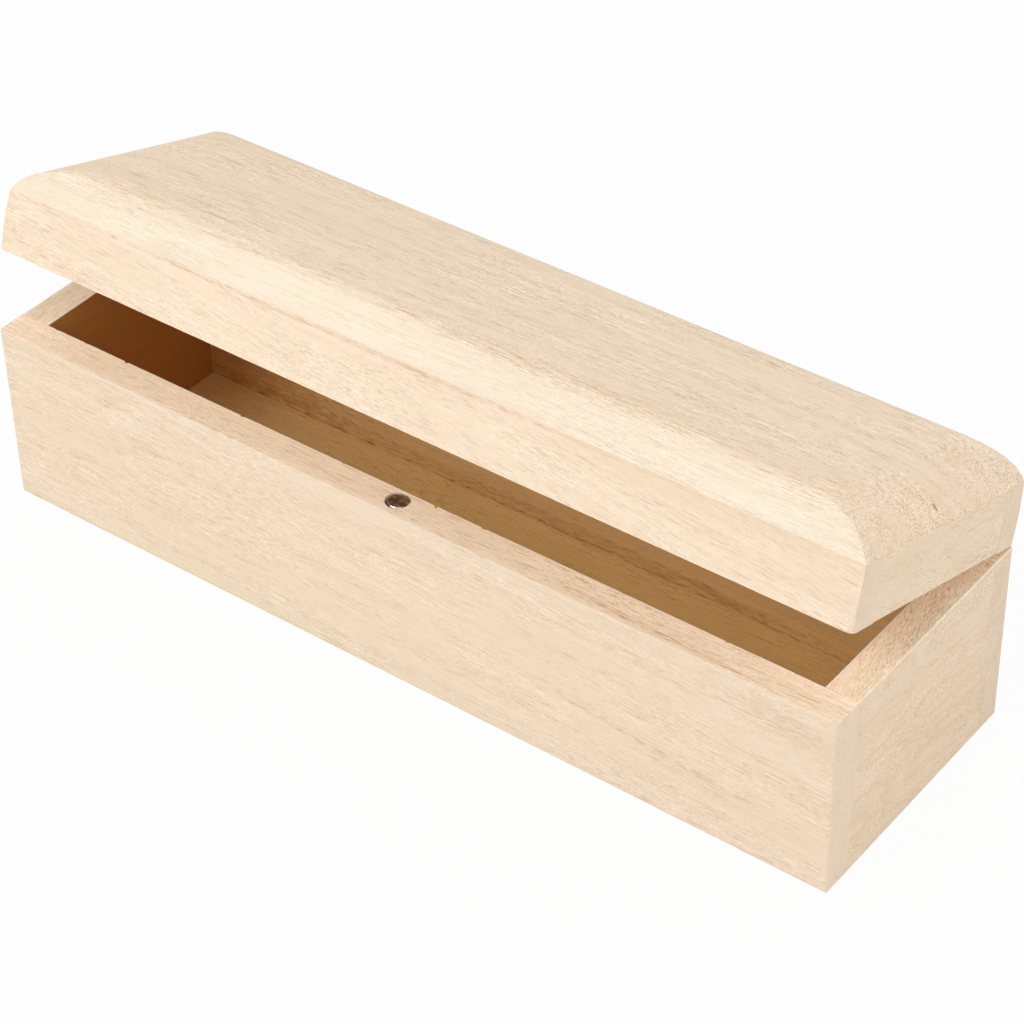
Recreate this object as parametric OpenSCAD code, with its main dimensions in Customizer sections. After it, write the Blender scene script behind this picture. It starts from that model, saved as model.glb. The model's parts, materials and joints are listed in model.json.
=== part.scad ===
// Long wooden storage box for pencils and brushes, with a crowned lid on two small butt hinges.
// Millimetres. +X runs along the length, +Y from front to back, +Z up.
// The origin is the centre of the underside of the base.

/* [Base] */
// Length over the end boards
box_length = 200; // [150:1:280]
// Depth from the front face to the back face
box_depth = 60; // [45:1:90]
// Height from the table to the rim
base_height = 41.5; // [25:0.5:80]
// Thickness of every side board
board_t = 7; // [6:0.5:9]
// Thickness of the bottom panel
bottom_t = 2.5; // [2:0.5:5]
// Rounding of the sanded outer edges of the base
base_arris_r = 0.8; // [0.3:0.1:1.5]

/* [Lid] */
// Height of the lid's side boards
lid_side_h = 12.5; // [9:0.5:20]
// Thickness of the top panel that carries the crown
lid_top_t = 7; // [5:0.5:9]
// How far the lid's sides lean inward by the time they reach the crown
lid_lean = 0.8; // [0:0.1:1]
// Rounding of the lid's upright corners at the rim
lid_corner_r = 1.5; // [0.5:0.1:2.5]
// How far the crown runs in from the front and back creases
crown_side_run = 8.4; // [6:0.2:12]
// How far the crown runs in from the end creases
crown_end_run = 16.8; // [12:0.2:24]
// Slope of the end crown where it leaves the crease, in degrees
crown_end_slope = 62; // [55:1:80]
// Slope where the tight arc of the end crown hands over to the wide arc, in degrees
crown_handover_slope = 22; // [15:1:45]
// Air left between the rims of the base and the lid when the lid is shut
rim_gap = 0.1; // [0.05:0.05:0.4]
// How far the lid stands open, in degrees
lid_open = 17.5; // [0:0.5:180]

/* [Catch] */
// Diameter of the magnets
magnet_d = 4.4; // [4:0.1:6]
// Height of the magnets
magnet_h = 3; // [2:0.5:5]
// Width of the chamfer round each magnet's face
magnet_chamfer = 0.2; // [0.1:0.05:0.4]
// Diameter of the blind holes that the magnets are glued into
magnet_hole_d = 5; // [4.6:0.1:7]
// Depth of a magnet's face below the rim
magnet_sunk = 0.25; // [0.1:0.05:0.8]
// Distance from the front face to the centre of the magnet holes
magnet_inset = 4; // [3.3:0.1:4.5]

/* [Hinges] */
// Length of a hinge
hinge_length = 18; // [14:1:30]
// Distance from the end of the box to the middle of a hinge
hinge_from_end = 38; // [25:1:60]
// Width of a leaf from the pin's axis to its free edge
leaf_w = 5.8; // [5:0.1:6.5]
// Thickness of the leaf metal
leaf_t = 0.65; // [0.5:0.05:0.7]
// Radius of the barrel
barrel_r = 1.25; // [1.1:0.05:1.5]
// Distance of the pin's axis behind the back face
barrel_out = 0.75; // [0.5:0.05:1]
// Radius of the hinge pin
pin_r = 0.55; // [0.4:0.05:0.6]
// Length of a hinge screw
screw_length = 5.5; // [4:0.5:7]

/* [Hidden] */
$fn = 64;

// Overshoot of cutting shapes past the faces that they cut
cut = 1;

// Places across the box
front_y = -box_depth / 2;
back_y = box_depth / 2;
inner_length = box_length - 2 * board_t;
inner_depth = box_depth - 2 * board_t;
lid_h = lid_side_h + lid_top_t;

// Crown of the front and back: one arc, level at the top, through the crease
side_crease = box_depth / 2 - lid_lean;
side_crown_r = (crown_side_run * crown_side_run + lid_top_t * lid_top_t) / (2 * lid_top_t);

// Crown of the ends: a tight arc from the crease, then a wide arc that is level at the top.
// The two radii solve run = a * tight + b * wide and rise = c * tight + d * wide.
end_crease = box_length / 2 - lid_lean;
tight_run = sin(crown_end_slope) - sin(crown_handover_slope);
wide_run = sin(crown_handover_slope);
tight_rise = cos(crown_handover_slope) - cos(crown_end_slope);
wide_rise = 1 - cos(crown_handover_slope);
crown_det = tight_run * wide_rise - wide_run * tight_rise;
tight_crown_r = (crown_end_run * wide_rise - wide_run * lid_top_t) / crown_det;
wide_crown_r = (tight_run * lid_top_t - crown_end_run * tight_rise) / crown_det;

// Hinges
hinge_x = box_length / 2 - hinge_from_end;
pin_y = back_y + barrel_out;
pin_z = base_height + rim_gap / 2;
knuckle_gap = 0.15;
wood_gap = 0.15;
pin_running_gap = 0.05;
middle_knuckle = 6.4;
pin_head_r = 0.8;
pin_head_t = 0.3;
hinge_cut_length = hinge_length + 2 * pin_head_t + 2 * wood_gap;

// Hinge screws
screw_shank_r = 0.7;
screw_head_r = 1.25;
screw_tip = 1.4;
screw_slot_w = 0.35;
screw_slot_depth = 0.3;
screw_spacing = 11;
screw_back = 3.6;

// The magnets sit against the back of their slightly wide holes
magnet_shift = (magnet_hole_d - magnet_d) / 2;
magnet_y = front_y + magnet_inset + magnet_shift;
magnet_hole_depth = magnet_h + magnet_sunk;

pale_wood = [0.93, 0.85, 0.74];
end_wood = [0.90, 0.81, 0.70];
panel_wood = [0.80, 0.66, 0.47];
nickel = [0.45, 0.43, 0.40];
brass = [0.78, 0.62, 0.32];

// ---- Shared shapes ----

// Rectangle about the origin with round corners
module soft_rect(w, d, r) {
    square([w - 2 * r, d], center = true);
    square([w, d - 2 * r], center = true);
    for (sx = [-1, 1], sy = [-1, 1])
        translate([sx * (w / 2 - r), sy * (d / 2 - r)]) circle(r);
}

// Upright shape of a profile drawn across Y and Z, run along X
module along_x(length) {
    rotate([90, 0, 90]) linear_extrude(length, center = true) children();
}

// Upright shape of a profile drawn across X and Z, run along Y
module along_y(length) {
    rotate([90, 0, 0]) linear_extrude(length, center = true) children();
}

// Box given by its lowest corner and its size
module block(low, size) {
    translate(low) cube(size);
}

// Outer form of the base: upright corners and bottom edges sanded round
module base_form() {
    intersection() {
        linear_extrude(base_height) soft_rect(box_length, box_depth, base_arris_r);
        along_x(box_length + 2 * cut)
            translate([0, base_height]) soft_rect(box_depth, 2 * base_height, base_arris_r);
        along_y(box_depth + 2 * cut)
            translate([0, base_height]) soft_rect(box_length, 2 * base_height, base_arris_r);
    }
}

// Straight, slightly leaning part of a lid profile
module band_profile(width) {
    polygon([
        [-width / 2, 0], [width / 2, 0],
        [width / 2 - lid_lean, lid_side_h], [lid_lean - width / 2, lid_side_h]
    ]);
}

// Lid profile across the depth: one arc on each side
module side_profile() {
    arc_start = side_crease - crown_side_run;
    band_profile(box_depth);
    translate([-arc_start, lid_side_h]) square([2 * arc_start, lid_top_t]);
    for (side = [0, 1]) mirror([side, 0])
        intersection() {
            translate([arc_start, lid_h - side_crown_r]) circle(side_crown_r, $fn = 128);
            translate([arc_start, lid_side_h]) square([crown_side_run, lid_top_t]);
        }
}

// Lid profile along the length: a tight and a wide arc on each end
module end_profile() {
    arc_start = end_crease - crown_end_run;
    tight_x = end_crease - tight_crown_r * sin(crown_end_slope);
    tight_z = lid_side_h - tight_crown_r * cos(crown_end_slope);
    handover_x = tight_x + tight_crown_r * sin(crown_handover_slope);
    band_profile(box_length);
    translate([-arc_start, lid_side_h]) square([2 * arc_start, lid_top_t]);
    for (side = [0, 1]) mirror([side, 0]) {
        intersection() {
            translate([arc_start, lid_h - wide_crown_r]) circle(wide_crown_r, $fn = 256);
            translate([arc_start, lid_side_h]) square([handover_x - arc_start, lid_top_t]);
        }
        intersection() {
            translate([tight_x, tight_z]) circle(tight_crown_r, $fn = 128);
            translate([handover_x, lid_side_h]) square([end_crease - handover_x, lid_top_t]);
        }
    }
}

// Outer form of the closed lid, rim at z = 0. The two crowns meet in curved hips at the corners.
module lid_form() {
    intersection() {
        along_x(box_length + 2 * cut) side_profile();
        along_y(box_depth + 2 * cut) end_profile();
        linear_extrude(lid_h) soft_rect(box_length, box_depth, lid_corner_r);
    }
}

// Turns the lid side about the pins, to where it stands open. The plane of the pins is z = 0.
module turned_open() {
    translate([0, pin_y, pin_z]) rotate([-lid_open, 0, 0]) translate([0, -pin_y, 0]) children();
}

// Carries what belongs to the lid, whose rim is z = 0
module on_lid() {
    turned_open() translate([0, 0, rim_gap / 2]) children();
}

// Blind hole for a magnet, sunk below z = 0
module magnet_hole() {
    translate([0, front_y + magnet_inset, -magnet_hole_depth])
        cylinder(h = magnet_hole_depth + cut, d = magnet_hole_d);
}

// Disc magnet with a chamfered face, its back on the bottom of the hole
module disc_magnet() {
    r = magnet_d / 2;
    translate([0, magnet_y, -magnet_hole_depth])
        rotate_extrude()
            polygon([
                [0, 0], [r, 0], [r, magnet_h - magnet_chamfer],
                [r - magnet_chamfer, magnet_h], [0, magnet_h]
            ]);
}

// Countersunk screw pointing down, the top of its head at z = 0
module screw_body() {
    head_h = screw_head_r - screw_shank_r;
    rotate_extrude()
        polygon([
            [0, 0], [screw_head_r, 0], [screw_shank_r, -head_h],
            [screw_shank_r, screw_tip - screw_length], [0, -screw_length]
        ]);
}

module slotted_screw() {
    difference() {
        screw_body();
        block([-screw_head_r - cut, -screw_slot_w / 2, -screw_slot_depth],
              [2 * (screw_head_r + cut), screw_slot_w, screw_slot_depth + cut]);
    }
}

// Places of the screws in the leaf below the pin's axis, the axis being the origin
module at_leaf_screws() {
    for (side = [-1, 1])
        translate([side * screw_spacing / 2, -screw_back, leaf_t - barrel_r]) children();
}

module at_hinges() {
    for (side = [-1, 1]) translate([side * hinge_x, pin_y, 0]) children();
}

// Tube of hinge metal round the pin's axis, between two places along it
module knuckle(from, to) {
    translate([from, 0, 0]) rotate([0, 90, 0]) cylinder(h = to - from, r = barrel_r);
}

// Room that the other leaf's knuckle needs, cut out of a leaf
module knuckle_room(from, to) {
    room_r = barrel_r + knuckle_gap;
    block([from, -room_r, -room_r], [to - from, 2 * room_r, 2 * room_r]);
}

module pin_bore(r) {
    rotate([0, 90, 0]) cylinder(h = hinge_length + 2 * cut, r = r, center = true);
}

module leaf_plate() {
    block([-hinge_length / 2, -leaf_w, -barrel_r], [hinge_length, leaf_w, leaf_t]);
}

// Leaf with the two outer knuckles, which hold the pin
module outer_leaf() {
    middle = middle_knuckle / 2 + knuckle_gap;
    difference() {
        union() {
            leaf_plate();
            knuckle(-hinge_length / 2, -middle);
            knuckle(middle, hinge_length / 2);
        }
        knuckle_room(-middle, middle);
        pin_bore(pin_r);
        at_leaf_screws() screw_body();
    }
}

// Leaf with the middle knuckle, which turns on the pin
module inner_leaf() {
    middle = middle_knuckle / 2;
    difference() {
        union() {
            leaf_plate();
            knuckle(-middle, middle);
        }
        knuckle_room(-hinge_length / 2 - cut, -middle);
        knuckle_room(middle, hinge_length / 2 + cut);
        pin_bore(pin_r + pin_running_gap);
        at_leaf_screws() screw_body();
    }
}

// Pin with a flat head hammered onto each end
module hinge_pin() {
    rotate([0, 90, 0]) {
        cylinder(h = hinge_length, r = pin_r, center = true);
        for (side = [-1, 1])
            translate([0, 0, side * (hinge_length + pin_head_t) / 2])
                cylinder(h = pin_head_t, r = pin_head_r, center = true);
    }
}

// Wood taken out for the two hinges below the plane of the pins: leaf pockets, barrel grooves, screw holes
module hinge_cuts() {
    at_hinges() {
        block([-hinge_length / 2, -leaf_w, -barrel_r], [hinge_length, leaf_w + cut, barrel_r + cut]);
        rotate([0, 90, 0])
            cylinder(h = hinge_cut_length, r = barrel_r + wood_gap, center = true);
        at_leaf_screws() screw_body();
    }
}

// ---- Base ----

module front_board() {
    color(pale_wood)
        difference() {
            intersection() {
                base_form();
                block([-box_length / 2, front_y, 0], [box_length, board_t, base_height]);
            }
            translate([0, 0, base_height]) magnet_hole();
        }
}

module back_board() {
    color(pale_wood)
        difference() {
            intersection() {
                base_form();
                block([-box_length / 2, back_y - board_t, 0], [box_length, board_t, base_height]);
            }
            translate([0, 0, pin_z]) hinge_cuts();
        }
}

// Short board between the front and the back, on the side that the sign gives
module base_end_board(side) {
    color(end_wood)
        intersection() {
            base_form();
            translate([side * (box_length - board_t) / 2, 0, base_height / 2])
                cube([board_t, inner_depth, base_height], center = true);
        }
}

module left_end_board() {
    base_end_board(-1);
}

module right_end_board() {
    base_end_board(1);
}

module bottom_panel() {
    color(panel_wood) block([-inner_length / 2, -inner_depth / 2, 0], [inner_length, inner_depth, bottom_t]);
}

// ---- Lid ----

module lid_front_board() {
    color(pale_wood)
        on_lid() difference() {
            intersection() {
                lid_form();
                block([-box_length / 2, front_y, 0], [box_length, board_t, lid_side_h]);
            }
            mirror([0, 0, 1]) magnet_hole();
        }
}

module lid_back_board() {
    color(pale_wood)
        on_lid() difference() {
            intersection() {
                lid_form();
                block([-box_length / 2, back_y - board_t, 0], [box_length, board_t, lid_side_h]);
            }
            translate([0, 0, -rim_gap / 2]) mirror([0, 0, 1]) hinge_cuts();
        }
}

// Short lid board between the front and the back, on the side that the sign gives
module lid_end_board(side) {
    color(end_wood)
        on_lid() intersection() {
            lid_form();
            translate([side * (box_length - board_t) / 2, 0, lid_side_h / 2])
                cube([board_t, inner_depth, lid_side_h], center = true);
        }
}

module lid_left_end_board() {
    lid_end_board(-1);
}

module lid_right_end_board() {
    lid_end_board(1);
}

module lid_top_panel() {
    color(pale_wood)
        on_lid() intersection() {
            lid_form();
            block([-box_length / 2, front_y, lid_side_h], [box_length, box_depth, lid_top_t]);
        }
}

// ---- Catch ----

module base_magnet() {
    color(nickel) translate([0, 0, base_height]) disc_magnet();
}

module lid_magnet() {
    color(nickel) on_lid() mirror([0, 0, 1]) disc_magnet();
}

// ---- Hinges ----

// Brings a hinge part of the base to its side of the box
module on_base_side(side) {
    translate([side * hinge_x, pin_y, pin_z]) children();
}

// Brings a hinge part of the lid to its side of the box, turned over
module on_lid_side(side) {
    turned_open() mirror([0, 0, 1]) translate([side * hinge_x, pin_y, 0]) children();
}

module left_hinge_base_leaf() {
    color(brass) on_base_side(-1) outer_leaf();
}

module left_hinge_lid_leaf() {
    color(brass) on_lid_side(-1) inner_leaf();
}

module left_hinge_pin() {
    color(brass) on_base_side(-1) hinge_pin();
}

module right_hinge_base_leaf() {
    color(brass) on_base_side(1) outer_leaf();
}

module right_hinge_lid_leaf() {
    color(brass) on_lid_side(1) inner_leaf();
}

module right_hinge_pin() {
    color(brass) on_base_side(1) hinge_pin();
}

module base_hinge_screws() {
    color(brass) translate([0, 0, pin_z]) at_hinges() at_leaf_screws() slotted_screw();
}

module lid_hinge_screws() {
    color(brass) turned_open() mirror([0, 0, 1]) at_hinges() at_leaf_screws() slotted_screw();
}

front_board();
back_board();
left_end_board();
right_end_board();
bottom_panel();
lid_front_board();
lid_back_board();
lid_left_end_board();
lid_right_end_board();
lid_top_panel();
base_magnet();
lid_magnet();
left_hinge_base_leaf();
left_hinge_lid_leaf();
left_hinge_pin();
right_hinge_base_leaf();
right_hinge_lid_leaf();
right_hinge_pin();
base_hinge_screws();
lid_hinge_screws();
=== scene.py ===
"""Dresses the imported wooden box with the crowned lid: pale boards, nickel magnets, brass hinges, stage."""

import json
import math

import bmesh
import bpy
from bpy.props import FloatProperty, FloatVectorProperty, IntProperty, PointerProperty
from mathutils import Matrix, Vector, noise


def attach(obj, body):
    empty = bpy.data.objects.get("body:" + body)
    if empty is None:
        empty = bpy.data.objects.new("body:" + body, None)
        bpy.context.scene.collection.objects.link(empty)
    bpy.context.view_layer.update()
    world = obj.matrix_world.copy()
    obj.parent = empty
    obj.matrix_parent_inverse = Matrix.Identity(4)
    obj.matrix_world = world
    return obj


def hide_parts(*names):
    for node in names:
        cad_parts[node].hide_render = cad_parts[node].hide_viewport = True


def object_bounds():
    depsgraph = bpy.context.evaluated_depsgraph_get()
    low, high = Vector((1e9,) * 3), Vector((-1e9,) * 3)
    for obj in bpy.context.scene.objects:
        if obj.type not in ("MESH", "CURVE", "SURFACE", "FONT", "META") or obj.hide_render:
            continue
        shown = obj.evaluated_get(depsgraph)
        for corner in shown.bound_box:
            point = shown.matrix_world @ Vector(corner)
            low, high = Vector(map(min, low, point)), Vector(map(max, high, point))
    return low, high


bl_info = {
    "name": "Crowned wooden box",
    "version": (1, 0, 0),
    "blender": (4, 5, 0),
    "location": "3D View > Sidebar > Wooden Box",
    "description": "Dresses the packed box in pale wood, nickel and brass, and sets its stage",
    "category": "Object",
}

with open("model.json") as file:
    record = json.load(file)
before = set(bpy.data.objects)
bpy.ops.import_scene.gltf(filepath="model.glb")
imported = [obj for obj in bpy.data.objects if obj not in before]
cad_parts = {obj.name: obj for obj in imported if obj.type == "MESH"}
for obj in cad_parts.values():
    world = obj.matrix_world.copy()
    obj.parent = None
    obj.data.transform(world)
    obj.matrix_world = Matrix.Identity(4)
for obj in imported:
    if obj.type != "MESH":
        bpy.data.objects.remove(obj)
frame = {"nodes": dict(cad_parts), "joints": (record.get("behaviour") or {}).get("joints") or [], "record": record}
CAD_LOW, CAD_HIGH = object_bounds()

MM = 0.001
HINGE = frame["joints"][0]
OPENING = math.radians(-HINGE["range_deg"][0])
BODIES = frame["record"]["behaviour"]["bodies"]

BASE_BOARDS = ("front_board", "back_board", "left_end_board", "right_end_board")
LID_BOARDS = ("lid_front_board", "lid_back_board", "lid_left_end_board", "lid_right_end_board")
WOOD = BASE_BOARDS + LID_BOARDS + ("bottom_panel", "lid_top_panel")
HARDWARE = tuple(name for name in frame["nodes"] if name not in WOOD)

# Lengths and an angle below which things count as one
SAME_POINT = 1e-6
CUT_ROOM = 1e-7
TOUCH = 0.01 * MM
FLAT_ANGLE = math.radians(0.3)

# How near a magnet or a hinge part keeps an edge from being sanded
METAL_ROOM = 0.5 * MM

# Angles from which an edge of a solid is sanded, has a glue line, or is shaded as sharp
ARRIS_ANGLE = math.radians(40)
SEAM_ANGLE = math.radians(50)
SHARP_ANGLE = math.radians(38)

# Cosines above which a face looks straight, or roughly, one way
STRAIGHT, ROUGHLY = 0.9, 0.7

# The edge round an opening: spacing of its points, reach in widths of the arris, waves and torn fibres
NICK_SPACING = 0.5 * MM
NICK_REACH = 1.2
WANDER_LENGTH, WANDER_SHARE = 9 * MM, 0.45
TOOTH_LENGTH, TOOTH_SHARE, TOOTH_SEED = 1.3 * MM, 0.35, 7.0
TEAR_LENGTH, TEAR_LEVEL, TEAR_DEPTH, TEAR_SEED = 1.6 * MM, 0.4, 24.0, 19.0

# Waves that sanding left in the crown, along and across the lid
WAVE_LENGTH = 34 * MM
WAVE_WIDTH = 15 * MM
WAVE_SEED = 3.0

# Noises of the grain: cycles a millimetre along the grain and the two ways across it
DRIFT = (0.015, 0.04, 0.04)
SHORT_FIBRES = (0.7, 4.6, 4.6)
LONG_FIBRES = (0.09, 4.6, 4.6)
SPECKS = (2.0, 5.6, 5.6)
DASHES = (0.20, 5.4, 5.4)
TICKS = (0.8, 5.6, 5.6)
DASH_BANDS = (0.01, 0.35, 0.35)
ROUGH_PATCHES = (0.03, 0.1, 0.1)
RING_BANDS = (0.004, 0.12, 0.10)
PORES = (0.30, 4.6, 4.6)
PORE_PATCHES = (0.03, 0.2, 0.2)
STREAKS = (0.008, 0.6, 0.6)
CLOUDS = (0.012, 0.05, 0.05)
HUES = (0.03, 0.07, 0.07)
TANGLE = (0.5, 0.9, 0.9)
MARK_OUTLINE = (0.4, 1.6, 1.6)
MARK_FIBRES = (0.4, 3.4, 3.4)

# Grain: its wander and the step between two boards, in millimetres, and the rings in a band
WANDER = (0.0, 4.0, 4.0)
BOARD_SHIFT = (31.0, 17.0, 23.0)
RINGS_IN_BAND = 7.0

# Dark fibres lose less red and more blue than green
RED_SHARE = 0.8
BLUE_SHARE = 1.3

# Colours of single marks: four on the inside of the back board, the first of them painted corner shade, and the
# knot in the lid
CORNER_SHADE = (0.56, 0.26, 0.06)
RED_BAND = (0.45, 0.18, 0.06)
DARK_STREAK = (0.36, 0.13, 0.045)
FOOT_LINE = (0.30, 0.11, 0.035)
KNOT = (0.52, 0.25, 0.09)

WHITE = (1.0, 1.0, 1.0)
PAPER = (0.7, 0.7, 0.7)
FLOOR_GLOW = 0.95
FLOOR_DROP = 0.02 * MM


# ---- Places, with the lid shut ----

def body_of(node):
    """The body that carries a CAD node."""
    return next(body for body, members in BODIES.items() if node in members)


def standing(body):
    """Matrix from the shut box to where a body stands at rest."""
    if body != HINGE["child"]:
        return Matrix.Identity(4)
    pin = Vector(HINGE["pos_m"])
    turn = Matrix.Rotation(OPENING, 4, Vector(HINGE["axis"]))
    return Matrix.Translation(pin) @ turn @ Matrix.Translation(-pin)


def shut_points(node):
    """A CAD node's corners with the lid shut."""
    back = standing(body_of(node)).inverted()
    return [back @ vertex.co for vertex in frame["nodes"][node].data.vertices]


def shut_box(node):
    """Lowest and highest corner of a CAD node with the lid shut."""
    points = shut_points(node)
    low = Vector(min(p[axis] for p in points) for axis in range(3))
    high = Vector(max(p[axis] for p in points) for axis in range(3))
    return low, high


BOXES = {node: shut_box(node) for node in frame["nodes"]}
HALF_LENGTH = BOXES["front_board"][1].x
HALF_DEPTH = BOXES["back_board"][1].y
RIM = BOXES["front_board"][1].z
LID_RIM = BOXES["lid_front_board"][0].z
CREASE = BOXES["lid_top_panel"][0].z
BOARD = BOXES["front_board"][1].y - BOXES["front_board"][0].y
INNER_X = HALF_LENGTH - BOARD
INNER_Y = HALF_DEPTH - BOARD


# ---- What a user would change ----

class WoodLook(bpy.types.PropertyGroup):
    """Colours and grain of the pale boards"""

    early: FloatVectorProperty(
        name="Early wood", description="Colour of the open, fast-grown wood",
        subtype="COLOR", size=3, min=0, max=1, default=(0.85, 0.70, 0.53))
    late: FloatVectorProperty(
        name="Late wood", description="Colour beside a growth ring",
        subtype="COLOR", size=3, min=0, max=1, default=(0.765, 0.60, 0.42))
    pore: FloatVectorProperty(
        name="Pores", description="Colour of the short reddish pore lines",
        subtype="COLOR", size=3, min=0, max=1, default=(0.50, 0.27, 0.14))
    # Partly painted shade: the panel colour is the panel's own ochre, made warmer and more saturated for the warm
    # bounce light in the shade on the floor of the box
    panel: FloatVectorProperty(
        name="Bottom panel", description="Colour of the thin bottom panel",
        subtype="COLOR", size=3, min=0, max=1, default=(1.0, 0.73, 0.365))
    stain: FloatVectorProperty(
        name="Streaks", description="Colour of the reddish streaks",
        subtype="COLOR", size=3, min=0, max=1, default=(0.60, 0.35, 0.21))
    weathered: FloatVectorProperty(
        name="Grey streaks", description="Colour of the grey-brown streaks",
        subtype="COLOR", size=3, min=0, max=1, default=(0.58, 0.45, 0.31))
    # Partly painted highlight: the fresh edge colour is fresh wood on rubbed edges and along the opening, and also
    # a painted highlight where the arrises catch the light
    clean: FloatVectorProperty(
        name="Fresh edges", description="Colour of freshly cut and rubbed edges",
        subtype="COLOR", size=3, min=0, max=1, default=(0.96, 0.84, 0.66))
    # Painted shade: the inside tint darkens and warms the inner faces, standing in for the shade and warm bounce
    # light inside the box; the lid's inside takes less of it
    inside: FloatVectorProperty(
        name="Inside tint", description="Tint of the shaded, unsanded faces inside",
        subtype="COLOR", size=3, min=0, max=2, default=(1.18, 1.04, 0.72))
    lid_inside: FloatVectorProperty(
        name="Lid inside tint", description="Further tint of the inside of the lid, which stays paler",
        subtype="COLOR", size=3, min=0, max=2, default=(0.95, 0.98, 1.08))
    # Partly painted light: the rim tint is the rim's own colour, and beside the opening also light painted against
    # the shade of the lid; the outer rim tint is the rim's colour further out
    sawn: FloatVectorProperty(
        name="Rim tint", description="Tint of the sawn rim beside the opening",
        subtype="COLOR", size=3, min=0, max=2, default=(1.17, 1.14, 1.12))
    outer: FloatVectorProperty(
        name="Outer rim tint", description="Tint of the sawn rim beside the outer faces",
        subtype="COLOR", size=3, min=0, max=2, default=(1.05, 1.02, 0.99))
    sanded: FloatVectorProperty(
        name="Sanded tint", description="Tint of the crown where its front is sanded smooth",
        subtype="COLOR", size=3, min=0, max=2, default=(0.915, 1.005, 1.10))
    end: FloatVectorProperty(
        name="End grain tint", description="Tint of the cut ends of the long boards",
        subtype="COLOR", size=3, min=0, max=1, default=(0.97, 0.965, 0.965))
    pore_depth: FloatProperty(
        name="Pore depth", description="How deep the pores read in the surface",
        unit="LENGTH", subtype="DISTANCE", default=0.04 * MM)


class EdgeLook(bpy.types.PropertyGroup):
    """Sanded and worn edges of the boards"""

    outer: FloatProperty(
        name="Outer arris", description="Width of the sanded edges on the outside",
        unit="LENGTH", subtype="DISTANCE", default=0.3 * MM)
    inner: FloatProperty(
        name="Inner arris", description="Width of the edges round the openings",
        unit="LENGTH", subtype="DISTANCE", default=0.15 * MM)
    glue: FloatProperty(
        name="Glue line", description="Width of the fine chamfer where two boards meet",
        unit="LENGTH", subtype="DISTANCE", default=0.05 * MM)
    wave: FloatProperty(
        name="Sanding waves", description="How far hand sanding left the crown uneven",
        unit="LENGTH", subtype="DISTANCE", default=0.06 * MM)
    hip: FloatProperty(
        name="Hip softness", description="Share of the crown's height that its hips are rounded over",
        subtype="FACTOR", min=0, max=1, default=0.08)
    end_slope: FloatProperty(
        name="End slope", description="Slope of the end crown where it leaves the crease",
        subtype="ANGLE", default=math.radians(62))
    handover_slope: FloatProperty(
        name="Handover slope", description="Slope where the tight arc of the end crown meets the wide arc",
        subtype="ANGLE", default=math.radians(22))
    steps: IntProperty(
        name="Crown steps", description="Rows of faces up the crown", min=8, max=60, default=26)


class MetalLook(bpy.types.PropertyGroup):
    """Colours of the magnets and hinges"""

    nickel: FloatVectorProperty(
        name="Nickel", description="Plating of the magnets",
        subtype="COLOR", size=3, min=0, max=1, default=(0.66, 0.62, 0.56))
    tarnish: FloatVectorProperty(
        name="Tarnish", description="Dull patches on the magnets",
        subtype="COLOR", size=3, min=0, max=1, default=(0.22, 0.17, 0.13))
    brass: FloatVectorProperty(
        name="Brass", description="Plating of hinges and screws",
        subtype="COLOR", size=3, min=0, max=1, default=(0.78, 0.56, 0.24))


class StageLook(bpy.types.PropertyGroup):
    """Floor, light and camera"""

    floor_size: FloatProperty(
        name="Floor size", description="Side of the square floor",
        unit="LENGTH", subtype="DISTANCE", default=4.0)
    world: FloatProperty(
        name="World", description="Strength of the even light from all round", default=0.70)
    front: FloatProperty(
        name="Front light", description="Power of the lamp in front, on the left",
        unit="POWER", default=5.15)
    side: FloatProperty(
        name="Side light", description="Power of the lamp on the right", unit="POWER", default=3.8)
    top: FloatProperty(
        name="Top light", description="Power of the lamp overhead", unit="POWER", default=1.4)
    camera_place: FloatVectorProperty(
        name="Camera", description="Place of the camera",
        unit="LENGTH", subtype="TRANSLATION", size=3, default=(0.2998, -0.3777, 0.4078))
    camera_target: FloatVectorProperty(
        name="Target", description="Point that the camera looks at",
        unit="LENGTH", subtype="TRANSLATION", size=3, default=(0.04093, -0.04383, 0.06952))
    camera_roll: FloatProperty(
        name="Roll", description="Tilt of the camera about its own axis",
        subtype="ANGLE", default=math.radians(-1.154))
    lens: FloatProperty(
        name="Lens", description="Focal length in millimetres", unit="CAMERA", default=110.4)


# ---- Node trees ----

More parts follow.
